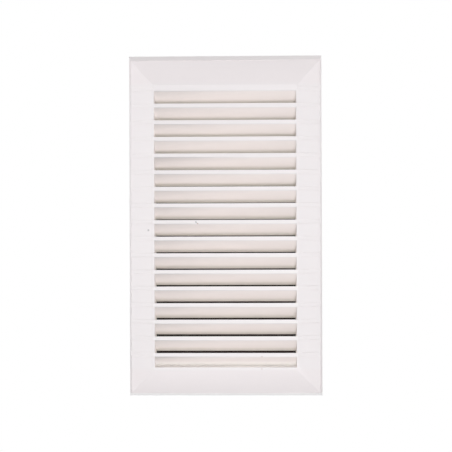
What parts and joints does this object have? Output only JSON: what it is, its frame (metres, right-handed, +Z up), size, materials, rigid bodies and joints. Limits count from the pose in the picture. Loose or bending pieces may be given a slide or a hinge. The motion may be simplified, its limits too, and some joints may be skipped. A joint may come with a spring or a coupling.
{
  "type": "louvred ventilation grille",
  "caption": "Rectangular wall vent cover with a bevelled mitred border, fixed sloping louvre blades, a short rear duct collar and an insect screen behind the blades.",
  "frame": {"origin": "centre of the flange in the wall plane, where the flange's foot meets the wall", "axes": "+Z up, +Y into the wall along the duct, -Y out of the blades' front, +X to the right as seen from the room"},
  "size_m": [0.17, 0.02, 0.3],
  "materials": {
    "white_moulding": "satin injection-moulded plastic, slightly warm white",
    "dark_screen": "matt coated net, charcoal"
  },
  "bodies": {
    "root": {"grille": "white_moulding", "insect_screen": "dark_screen"}
  },
  "joints": []
}
